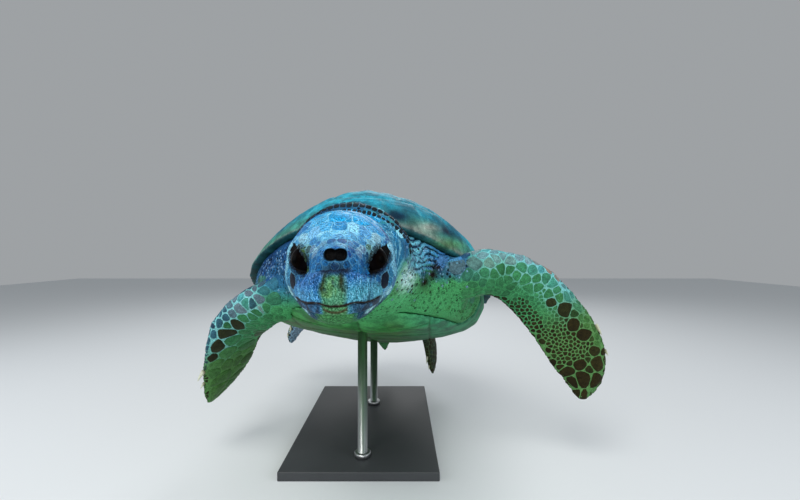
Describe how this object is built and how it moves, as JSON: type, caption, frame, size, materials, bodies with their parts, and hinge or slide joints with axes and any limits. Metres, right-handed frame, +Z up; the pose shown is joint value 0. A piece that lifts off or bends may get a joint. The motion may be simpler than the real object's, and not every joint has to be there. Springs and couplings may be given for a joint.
{
  "type": "loggerhead turtle model",
  "caption": "Still life-size model of a swimming loggerhead turtle, held over a flat base by short rods up to its belly.",
  "frame": {"origin": "middle of the underside of the stand's base", "axes": "+Z up, the turtle faces -Y and its left side is at +X"},
  "size_m": [1.0042, 1.0925, 0.6872],
  "materials": {
    "skin": "scaled reptile skin, blue-grey above and yellow-green below, semi-matt",
    "carapace": "horn plates of the shell, teal-green, weathered, satin",
    "plastron": "horn plates of the belly, yellow-green, smooth, satin",
    "beak": "horn sheath of the bill, green-blue, streaked, satin",
    "claw": "pale horn, satin",
    "eye": "dark wet eye, gloss",
    "stand_base": "dark grey powder coat, matt",
    "stand_rod": "brushed, satin"
  },
  "bodies": {
    "root": {"eye_left": "eye", "eye_right": "eye", "claw_front_left_1": "claw", "claw_front_left_2": "claw", "claw_front_right_1": "claw", "claw_front_right_2": "claw", "claw_hind_left_1": "claw", "claw_hind_left_2": "claw", "claw_hind_right_1": "claw", "claw_hind_right_2": "claw", "head": "skin", "neck": "skin", "trunk": "skin", "tail": "skin", "front_flipper_left_blade": "skin", "front_flipper_left_arm": "skin", "front_flipper_right_blade": "skin", "front_flipper_right_arm": "skin", "hind_flipper_left": "skin", "hind_flipper_right": "skin", "carapace": "carapace", "plastron": "plastron", "upper_beak": "beak", "lower_jaw": "beak", "stand_rod_front": "stand_rod", "stand_rod_rear": "stand_rod", "stand_base": "stand_base"}
  },
  "joints": []
}
